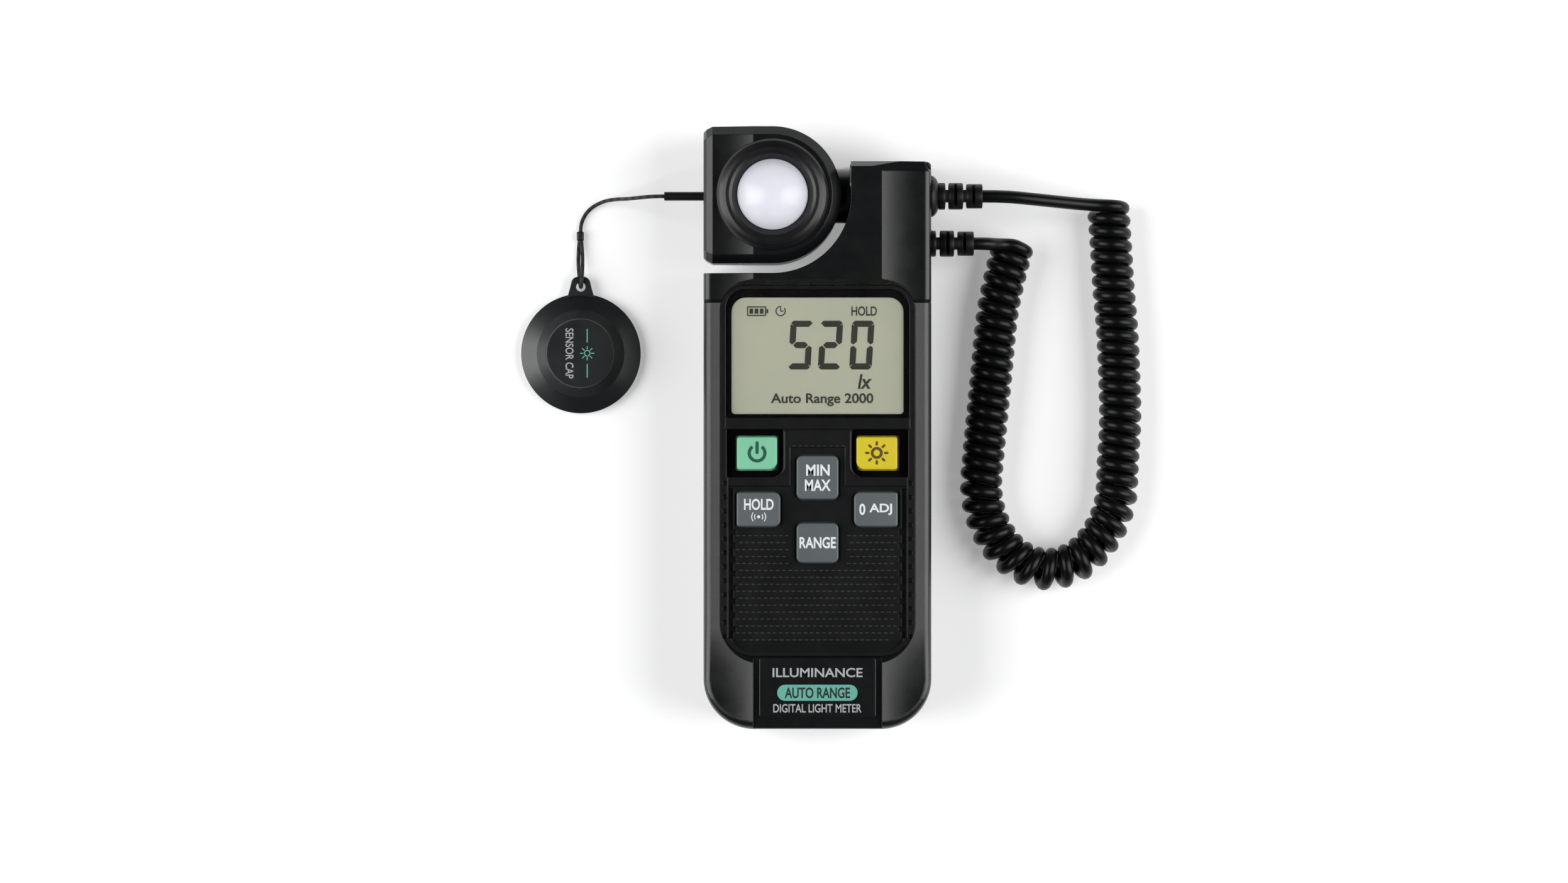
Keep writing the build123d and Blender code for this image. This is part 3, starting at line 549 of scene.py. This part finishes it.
STRAP_DIAMETER = 1.1
STRAP_POINTS = [
    (-43.22, 65.3, 19.5), (-46.6, 65.3, 19.5), (-50.8, 65.0, 16.6), (-54.2, 64.9, 11.4),
    (-57.4, 65.1, 5.9), (-61.4, 64.6, 1.8), (-65.2, 62.4, 0.72), (-67.2, 59.2, 0.74),
    (-67.6, 56.1, 1.0), (-67.3, 53.3, 1.4), (-66.95, 49.5, 1.7), (-66.9, 46.2, 2.9),
    (-67.0, 43.6, 4.25), (-67.15, 41.0, 4.3), (-67.4, 39.9, 2.2), (-67.7, 41.0, 0.72),
    (-67.95, 43.6, 0.62), (-68.2, 46.8, 0.66), (-68.15, 50.0, 0.62), (-67.9, 53.3, 0.65),
]


def strap():
    obj = nurbs("cap_strap", STRAP_POINTS, 10, STRAP_DIAMETER / 2)
    dress(obj, "carriage", "strap_cord")
    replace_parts(obj, "strap_cord", "strap_loop")


strap()


# Printed and raised details. A shape is a list of (x, y) points, and becomes a thin solid.

PRINT_T = 0.03           # a print stands this far proud
PRINT_SINK = 0.01        # and starts this far below its surface
BOLD = 0.024             # weight added to the type; heavier lettering would cross itself


def add_prism(bm, outline, z0, z1, inset=0.0):
    """A solid on this outline, with its top drawn in towards its middle by inset."""
    middle = Vector((sum(p[0] for p in outline), sum(p[1] for p in outline))) / len(outline)
    rings = []
    for z, draw in ((z0, 0.0), (z1, inset)):
        ring = []
        for p in outline:
            away = Vector(p) - middle
            place = middle + away * (1 - draw / max(away.length, 1e-6))
            ring.append(bm.verts.new(mm(place.x, place.y, z)))
        rings.append(ring)
    bm.faces.new(list(reversed(rings[0])))
    bm.faces.new(rings[1])
    count = len(outline)
    for i in range(count):
        j = (i + 1) % count
        bm.faces.new((rings[0][i], rings[0][j], rings[1][j], rings[1][i]))


def add_band(bm, outer, inner, z0, z1, closed=True):
    """A solid between two lines with the same number of points."""
    low_out, low_in, high_out, high_in = [
        [bm.verts.new(mm(x, y, z)) for x, y in line] for z in (z0, z1) for line in (outer, inner)]
    count = len(outer)
    for i in range(count if closed else count - 1):
        j = (i + 1) % count
        bm.faces.new((high_out[i], high_out[j], high_in[j], high_in[i]))
        bm.faces.new((low_in[i], low_in[j], low_out[j], low_out[i]))
        bm.faces.new((low_out[i], low_out[j], high_out[j], high_out[i]))
        bm.faces.new((high_in[i], high_in[j], low_in[j], low_in[i]))
    if not closed:
        for i in (0, count - 1):
            bm.faces.new((low_out[i], high_out[i], high_in[i], low_in[i]))


def arc(x, y, radius, start, end, count=24):
    """Points of an arc from start to end, in degrees counted from +X."""
    turns = [math.radians(start + (end - start) * i / count) for i in range(count + 1)]
    return [(x + radius * math.cos(a), y + radius * math.sin(a)) for a in turns]


def add_arc(bm, x, y, radius, width, start, end, z0, z1):
    """A bent band, or a ring where it goes all the way round."""
    closed = abs(end - start) >= 360
    outer = arc(x, y, radius + width / 2, start, end)
    inner = arc(x, y, radius - width / 2, start, end)
    if closed:
        outer, inner = outer[:-1], inner[:-1]
    add_band(bm, outer, inner, z0, z1, closed)


def bar(x0, y0, x1, y1, width):
    """The outline of a straight bar with rounded ends."""
    run = Vector((x1 - x0, y1 - y0))
    heading = math.degrees(math.atan2(run.y, run.x))
    far_end = arc(x1, y1, width / 2, heading - 90, heading + 90, 6)
    near_end = arc(x0, y0, width / 2, heading + 90, heading + 270, 6)
    return far_end + near_end


def add_sun(bm, at, radius, width, rays, ray_width, span):
    """A ring with eight rays, from rays[0] to rays[1] away from its middle."""
    x, y = at
    add_arc(bm, x, y, radius, width, 0, 360, *span)
    for spoke in range(8):
        way = Vector((math.cos(math.pi * spoke / 4), math.sin(math.pi * spoke / 4)))
        near, far = way * rays[0], way * rays[1]
        add_prism(bm, bar(x + near.x, y + near.y, x + far.x, y + far.y, ray_width), *span)


def rounded_box(x0, x1, y0, y1, radius, count=6):
    corners = [(x1, y1, 0), (x0, y1, 90), (x0, y0, 180), (x1, y0, 270)]
    points = []
    for x, y, start in corners:
        cx = x - radius if x == x1 else x + radius
        cy = y - radius if y == y1 else y + radius
        points += arc(cx, cy, radius, start, start + 90, count)
    return points


def add_text(bm, words, box, z0, z1, weight=0.0, slant=0.0, turn=0.0):
    """Lettering that fills a box x0, x1, y0, y1, turned by some degrees, as a thin solid."""
    curve = bpy.data.curves.new("words", "FONT")
    curve.body = words
    curve.offset = weight
    curve.shear = slant
    curve.extrude = 0.5
    curve.resolution_u = 6
    obj = bpy.data.objects.new("words", curve)
    scene.collection.objects.link(obj)
    mesh = bpy.data.meshes.new_from_object(obj)
    bpy.data.objects.remove(obj)
    bpy.data.curves.remove(curve)
    cos, sin = round(math.cos(math.radians(turn))), round(math.sin(math.radians(turn)))
    places = [
        Vector((v.co.x * cos - v.co.y * sin, v.co.x * sin + v.co.y * cos, v.co.z)) for v in mesh.vertices]
    low = [min(p[k] for p in places) for k in range(3)]
    high = [max(p[k] for p in places) for k in range(3)]
    spans = ((box[0], box[1]), (box[2], box[3]), (z0, z1))
    for vertex, place in zip(mesh.vertices, places):
        vertex.co = [
            (a + (b - a) * (place[k] - low[k]) / (high[k] - low[k])) * MM
            for k, (a, b) in enumerate(spans)]
    bm.from_mesh(mesh)
    bpy.data.meshes.remove(mesh)


def piece(name, bm, body, slot, material=None, smooth_below=35):
    return dress(from_bmesh(name, bm, smooth_below), body, slot, material)


def print_span(surface):
    """Where a print on this surface starts and ends."""
    return surface - PRINT_SINK, surface + PRINT_T


# Key legends

KEY_TOP = 30.3
KEY_PRINT = print_span(KEY_TOP)
POWER_AT = (-16.95, -7.15)
LIGHT_AT = (16.6, -7.1)
SIGNAL_AT = (-16.5, -25.0)


def key_legends():
    bm = bmesh.new()
    x, y = POWER_AT
    add_arc(bm, x, y, 2.2, 0.9, 126, 414, *KEY_PRINT)
    add_prism(bm, bar(x, y + 0.15, x, y + 2.85, 0.9), *KEY_PRINT)
    piece("legend_power", bm, "power_button", "key_green", INKS["ink_green"])

    bm = bmesh.new()
    add_sun(bm, LIGHT_AT, 1.3, 0.8, (2.35, 2.95), 0.68, KEY_PRINT)
    piece("legend_backlight", bm, "backlight_button", "key_yellow", INKS["ink_brown"])

    bm = bmesh.new()
    add_text(bm, "MIN", (-3.2, 3.4, -13.5, -10.35), *KEY_PRINT, weight=BOLD)
    add_text(bm, "MAX", (-3.55, 3.7, -17.75, -14.55), *KEY_PRINT, weight=BOLD)
    piece("legend_min_max", bm, "min_max_button", "key_grey", INKS["ink_white"])

    bm = bmesh.new()
    add_text(bm, "HOLD", (-20.6, -12.3, -23.1, -19.95), *KEY_PRINT, weight=BOLD)
    add_prism(bm, arc(*SIGNAL_AT, 0.45, 0, 345, 14), *KEY_PRINT)
    for side in (0, 180):
        for radius in (1.15, 1.95):
            add_arc(bm, *SIGNAL_AT, radius, 0.26, side - 38, side + 38, *KEY_PRINT)
    piece("legend_hold", bm, "hold_button", "key_grey", INKS["ink_white"])

    bm = bmesh.new()
    add_text(bm, "0", (11.7, 13.4, -24.5, -21.3), *KEY_PRINT, weight=BOLD)
    add_text(bm, "ADJ", (14.5, 20.9, -24.5, -21.3), *KEY_PRINT, weight=BOLD)
    piece("legend_zero_adjust", bm, "zero_adjust_button", "key_grey", INKS["ink_white"])

    bm = bmesh.new()
    add_text(bm, "RANGE", (-5.05, 5.15, -33.85, -30.65), *KEY_PRINT, weight=BOLD)
    piece("legend_range", bm, "range_button", "key_grey", INKS["ink_white"])


key_legends()


# Display content: dark segments on the display's film

LCD_TOP = 27.68
LCD_PRINT = (LCD_TOP - 0.005, LCD_TOP + 0.014)
DIGIT_H = 13.7
DIGIT_W = 6.35
DIGIT_T = 1.75
DIGIT_GAP = 0.14
DIGIT_SLANT = 0.062
DIGIT_CUT = 0.7          # bevel of a segment's outer corner
DIGIT_FOOT = 16.3
DIGITS = (("5", -8.35), ("2", 0.05), ("0", 8.85))    # each with its left edge
SEGMENTS = {"5": "afgcd", "2": "abged", "0": "abcdef"}
CLOCK_AT = (-10.35, 32.7)


def segment_shapes():
    """Outlines of the seven segments of a digit that stands on its lower left corner."""
    h, w, t, g, cut = DIGIT_H, DIGIT_W, DIGIT_T, DIGIT_GAP, DIGIT_CUT
    half = h / 2
    top = [
        (g + cut, h), (w - g - cut, h), (w - g, h - cut),
        (w - g - t + cut, h - t), (t + g - cut, h - t), (g, h - cut)]
    upper_left = [
        (0, h - cut - 2 * g), (t, h - t - g), (t, half + t / 2 + g),
        (t * 0.45, half + g), (0, half + t * 0.4)]
    middle = [
        (t * 0.55 + g, half), (t + g, half + t / 2), (w - t - g, half + t / 2), (w - t * 0.55 - g, half),
        (w - t - g, half - t / 2), (t + g, half - t / 2)]
    upper_right = [(w - x, y) for x, y in upper_left]
    return {
        "a": top, "d": [(x, h - y) for x, y in top], "f": upper_left, "b": upper_right, "g": middle,
        "e": [(x, h - y) for x, y in upper_left], "c": [(x, h - y) for x, y in upper_right]}


def display_content():
    bm = bmesh.new()
    shapes = segment_shapes()
    for digit, left in DIGITS:
        for name in SEGMENTS[digit]:
            outline = [(left + x + DIGIT_SLANT * y, DIGIT_FOOT + y) for x, y in shapes[name]]
            add_prism(bm, outline, *LCD_PRINT)
    add_text(bm, "lx", (11.3, 15.3, 10.85, 15.0), *LCD_PRINT, weight=0.022, slant=0.2)
    add_text(bm, "Auto Range 2000", (-13.1, 15.7, 6.0, 9.65), *LCD_PRINT, weight=BOLD)
    add_text(bm, "HOLD", (9.5, 16.7, 31.35, 34.05), *LCD_PRINT, weight=BOLD)
    # battery outline with three cells and a terminal
    outer = rounded_box(-19.8, -14.4, 31.3, 34.05, 0.3)
    inner = rounded_box(-19.45, -14.75, 31.65, 33.7, 0.1)
    add_band(bm, outer, inner, *LCD_PRINT)
    for cell in range(3):
        x = -19.1 + 1.45 * cell
        add_prism(bm, rounded_box(x, x + 1.05, 31.95, 33.4, 0.08, 2), *LCD_PRINT)
    add_prism(bm, rounded_box(-14.35, -13.8, 32.1, 33.25, 0.08, 2), *LCD_PRINT)
    # mark of the automatic power-off: a clock face with two hands
    x, y = CLOCK_AT
    add_arc(bm, x, y, 1.3, 0.34, 80, 400, *LCD_PRINT)
    add_prism(bm, bar(x, y, x, y + 1.05, 0.3), *LCD_PRINT)
    add_prism(bm, bar(x, y, x + 0.75, y, 0.3), *LCD_PRINT)
    piece("display_segments", bm, "case", "lcd", INKS["lcd_dark"])


display_content()


# Nameplate and cap prints

PLATE_TOP = 31.3
CAP_FACE = 7.4
CAP_MARK_AT = (-65.4, 21.2)


def nameplate_prints():
    span = print_span(PLATE_TOP)
    bm = bmesh.new()
    add_text(bm, "ILLUMINANCE", (-12.6, 12.6, -69.9, -67.3), *span, weight=0.015)
    piece("nameplate_heading", bm, "case", "nameplate_black", INKS["ink_grey"])
    bm = bmesh.new()
    add_prism(bm, rounded_box(-11.3, 11.2, -76.5, -72.0, 2.2, 10), *span)
    piece("nameplate_pill", bm, "case", "nameplate_black", INKS["ink_teal"])
    bm = bmesh.new()
    add_text(bm, "AUTO RANGE", (-9.2, 9.1, -75.8, -72.75), PLATE_TOP, span[1] + 0.02, weight=BOLD)
    piece("nameplate_pill_words", bm, "case", "nameplate_black", INKS["ink_dark"])
    bm = bmesh.new()
    add_text(bm, "DIGITAL LIGHT METER", (-12.4, 12.3, -79.8, -77.4), *span, weight=0.012)
    piece("nameplate_words", bm, "case", "nameplate_black", INKS["ink_grey"])


def cap_prints():
    span = print_span(CAP_FACE)
    bm = bmesh.new()
    add_text(bm, "SENSOR CAP", (-71.6, -69.3, 14.0, 28.3), *span, weight=0.012, turn=-90)
    piece("cap_words", bm, "cap", "cap_black", INKS["ink_grey"])
    bm = bmesh.new()
    add_sun(bm, CAP_MARK_AT, 0.8, 0.32, (1.25, 1.9), 0.3, span)
    x, y = CAP_MARK_AT
    for side in (-1, 1):
        add_prism(bm, bar(x, y + side * 3.2, x, y + side * 6.8, 0.34), *span)
    piece("cap_mark", bm, "cap", "cap_black", INKS["ink_teal"])


nameplate_prints()
cap_prints()


# Raised dashes: the grip field below the keys, and a row on the apron between the two upper keys

FLOOR_FACE = 28.6
APRON_FACE = 29.2
GRIP_ROWS = 16
GRIP_TOP_Y = -30.3
GRIP_REACH = 22.4        # half the length of a row
GRIP_LAST_REACH = 20.4   # and of the lowest one
RANGE_KEY_LOW = -40.0    # the rows above this leave room for the range key
RANGE_KEY_HALF = 7.9
ROW_PITCH = 1.95
DASH_PITCH = 1.73
DASH_L = 1.2
DASH_W = 0.42
DASH_RISE = 0.2
DASH_INSET = 0.12        # a dash's top is drawn in by this
# The dashes are coloured lighter than the panel black they stand from: painted highlight for the light
# their raised tops catch.
DASH_PAINTED_HIGHLIGHT = moulded("dash_black", (0.022, 0.0225, 0.024), 0.45, grain=0.2, depth=0.004, edge=0)


def grip_field():
    bm = bmesh.new()
    half = (DASH_L - DASH_W) / 2
    for row in range(GRIP_ROWS):
        y = GRIP_TOP_Y - ROW_PITCH * row
        last = row == GRIP_ROWS - 1
        reach = GRIP_LAST_REACH if last else GRIP_REACH
        x = -reach + (0.5 * DASH_PITCH if row % 2 and not last else 0.0)
        while x <= reach:
            if y <= RANGE_KEY_LOW or abs(x) >= RANGE_KEY_HALF:
                add_prism(
                    bm, bar(x - half, y, x + half, y, DASH_W),
                    FLOOR_FACE - PRINT_SINK, FLOOR_FACE + DASH_RISE, DASH_INSET)
            x += DASH_PITCH
    piece("grip_dashes", bm, "case", "panel_black", DASH_PAINTED_HIGHLIGHT, smooth_below=60)


def apron_row():
    bm = bmesh.new()
    for k in range(9):
        x = -7.0 + DASH_PITCH * k
        add_prism(bm, bar(x, -5.15, x + 0.8, -5.15, 0.26), APRON_FACE - PRINT_SINK, APRON_FACE + 0.08, 0.05)
    piece("apron_dashes", bm, "case", "panel_black", DASH_PAINTED_HIGHLIGHT, smooth_below=60)


grip_field()
apron_row()


# The two upper keys' pockets

POCKET_FACE = 27.8
LIP_SOFT = 0.18          # rounding of a lip's edges


def pocket_shade_sheets():
    """A dark sheet at the bottom of each pocket, with a hole for the key: painted shade that darkens the
    pockets round the two upper keys.
    """
    bm = bmesh.new()
    outer = rounded_box(-25.4, -9.7, -13.8, -0.6, 0.5)
    inner = rounded_box(-23.0, -10.95, -12.15, -2.25, 0.5)
    for side in (1, -1):
        far = [(side * x, y) for x, y in outer]
        near = [(side * x, y) for x, y in inner]
        add_band(bm, far, near, POCKET_FACE - PRINT_SINK, POCKET_FACE + 0.05)
    piece("pocket_shade_sheets", bm, "case", "mask_black")


def pocket_lips():
    """A low raised lip round the inner lower corner of each pocket."""
    bm = bmesh.new()
    inner = [(-9.55, -0.9), (-9.55, -10.6)] + arc(-12.65, -10.6, 3.1, 0, -72, 10)
    outer = [(-9.0, -0.9), (-9.0, -10.6)] + arc(-12.65, -10.6, 3.65, 0, -72, 10)
    for side in (1, -1):
        near = [(side * x, y) for x, y in inner]
        far = [(side * x, y) for x, y in outer]
        add_band(bm, near, far, APRON_FACE - 0.3, APRON_FACE + 0.35, closed=False)
    lips = piece("pocket_lips", bm, "case", "panel_black")
    soften = lips.modifiers.new("soften", "BEVEL")
    soften.width = LIP_SOFT * MM
    soften.segments = 3


pocket_shade_sheets()
pocket_lips()


# Strain reliefs: soft lobes along the cord, slotted by turns across and up and down

GLAND_SIDES = 48
LOBE_ROUND = 0.35
WEB = 1.7                # half of what a slot leaves between its two cuts


def lobe(x0, x1, radius, slot=None):
    """Stations (x, radius, cut) of one lobe, with a slot of the second kind from slot[0] to slot[1]."""
    soft = LOBE_ROUND
    start = [(x0, radius - soft, 0), (x0 + 0.3 * soft, radius - 0.3 * soft, 0), (x0 + soft, radius, 0)]
    stop = [(x1 - soft, radius, 0), (x1 - 0.3 * soft, radius - 0.3 * soft, 0), (x1, radius - soft, 0)]
    if slot is None:
        return start + stop
    a, b = slot
    return start + [(a, radius, 0), (a, radius, 2), (b, radius, 2), (b, radius, 0)] + stop


def gap(x0, x1, radius):
    """A slot of the first kind between two lobes."""
    return [(x0, radius, 1), (x1, radius, 1)]


def gland(name, node, body, y0, z0, stations):
    """Rings round the cord's line, with the cuts of kind 1 across Y and of kind 2 across Z."""
    bm = bmesh.new()
    rings = []
    for x, radius, cut in stations:
        ring = []
        for side in range(GLAND_SIDES):
            angle = 2 * math.pi * (side + 0.5) / GLAND_SIDES
            y, z = radius * math.cos(angle), radius * math.sin(angle)
            if cut == 1:
                y = max(-WEB, min(WEB, y))
            if cut == 2:
                z = max(-WEB, min(WEB, z))
            ring.append(bm.verts.new(mm(x, y0 + y, z0 + z)))
        rings.append(ring)
    for a, b in zip(rings, rings[1:]):
        for i in range(GLAND_SIDES):
            j = (i + 1) % GLAND_SIDES
            bm.faces.new((a[i], a[j], b[j], b[i]))
    bm.faces.new(rings[0])
    bm.faces.new(rings[-1])
    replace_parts(piece(name, bm, body, "gland_rubber", smooth_below=40), node)


def both_glands():
    upper = [
        (31.92, 5.5, 0), (32.0, 5.75, 0), (32.3, 5.85, 0), (32.8, 5.65, 0), (33.3, 5.2, 0), (33.75, 4.6, 0),
        (34.05, 3.9, 0), (34.1, 3.45, 0)]
    upper += lobe(34.1, 36.1, 3.8)
    upper += gap(36.1, 37.0, 3.45)
    upper += lobe(37.0, 41.1, 3.75, (38.5, 39.4))
    upper += gap(41.1, 42.0, 3.4)
    upper += lobe(42.0, 46.6, 3.45, (43.6, 44.5))
    upper += [(46.6, 2.3, 0)]
    gland("gland_upper", "upper_gland", "carriage", 65.3, 19.5, upper)

    lower = [(31.0, 3.0, 0), (32.06, 3.0, 0)]
    lower += lobe(32.06, 33.6, 3.7)
    lower += gap(33.6, 34.7, 3.35)
    lower += lobe(34.7, 38.7, 3.7, (36.4, 37.3))
    lower += gap(38.7, 39.7, 3.35)
    lower += lobe(39.7, 44.3, 3.45, (41.2, 42.1))
    lower += [(44.3, 2.3, 0)]
    gland("gland_lower", "lower_gland", "case", 52.1, 15.0, lower)


both_glands()


# Floor and light

FLOOR_HALF = 3.0         # metres
FLOOR_DROP = 0.2


def make_floor():
    bm = bmesh.new()
    bmesh.ops.create_grid(bm, x_segments=1, y_segments=1, size=FLOOR_HALF)
    floor = from_bmesh("floor", bm)
    floor.location.z = -FLOOR_DROP * MM
    material, _, shader = new_material("floor_white")
    shader.inputs["Base Color"].default_value = (0.92, 0.92, 0.92, 1)
    shader.inputs["Roughness"].default_value = 0.9
    shader.inputs["Specular IOR Level"].default_value = 0.1
    shader.inputs["Emission Color"].default_value = (1, 1, 1, 1)
    shader.inputs["Emission Strength"].default_value = 0.3
    floor.data.materials.append(material)


def soft_box(name, location, size, watts, aim=(0, 0, 0.01)):
    """A rectangular lamp; its places and size are in metres."""
    data = bpy.data.lights.new(name, "AREA")
    data.shape = "RECTANGLE"
    data.size, data.size_y = size
    data.energy = watts
    obj = bpy.data.objects.new(name, data)
    obj.location = location
    obj.rotation_euler = (Vector(aim) - Vector(location)).to_track_quat("-Z", "Y").to_euler()
    scene.collection.objects.link(obj)


SKY_ACROSS = (0.15, 0.8)           # how far a direction points sideways, from the middle to the sides
SKY_STRENGTH = (0.08, 0.36)        # light from those directions
SKY_LOW = (0.9, 0.92, 0.95, 1)
SKY_HIGH = (0.05, 0.05, 0.055, 1)
SKY_HIGH_FROM = 0.85               # upward share of a direction where the dark part starts


def make_sky():
    """Soft light from both sides and darkness overhead, so that flat glossy faces stay black."""
    world = bpy.data.worlds.new("studio")
    scene.world = world
    world.use_nodes = True
    tree = world.node_tree
    background = tree.nodes["Background"]
    coords = tree.nodes.new("ShaderNodeTexCoord")
    split = tree.nodes.new("ShaderNodeSeparateXYZ")
    tree.links.new(coords.outputs["Generated"], split.inputs["Vector"])
    ramp = tree.nodes.new("ShaderNodeValToRGB")
    low, high = ramp.color_ramp.elements
    low.position = 0.0
    low.color = SKY_LOW
    high.position = SKY_HIGH_FROM
    high.color = SKY_HIGH
    tree.links.new(split.outputs["Z"], ramp.inputs["Fac"])
    tree.links.new(ramp.outputs["Color"], background.inputs["Color"])
    sideways = tree.nodes.new("ShaderNodeMath")
    sideways.operation = "ABSOLUTE"
    tree.links.new(split.outputs["X"], sideways.inputs[0])
    strength = remap(tree, sideways.outputs["Value"], *SKY_STRENGTH, SKY_ACROSS)
    tree.links.new(strength, background.inputs["Strength"])


make_floor()
for side, name in ((-1, "left_box"), (1, "right_box")):
    soft_box(name, (side * 0.95, 0.0, 0.78), (0.9, 1.2), 14.0)
make_sky()
scene.view_settings.view_transform = "Standard"
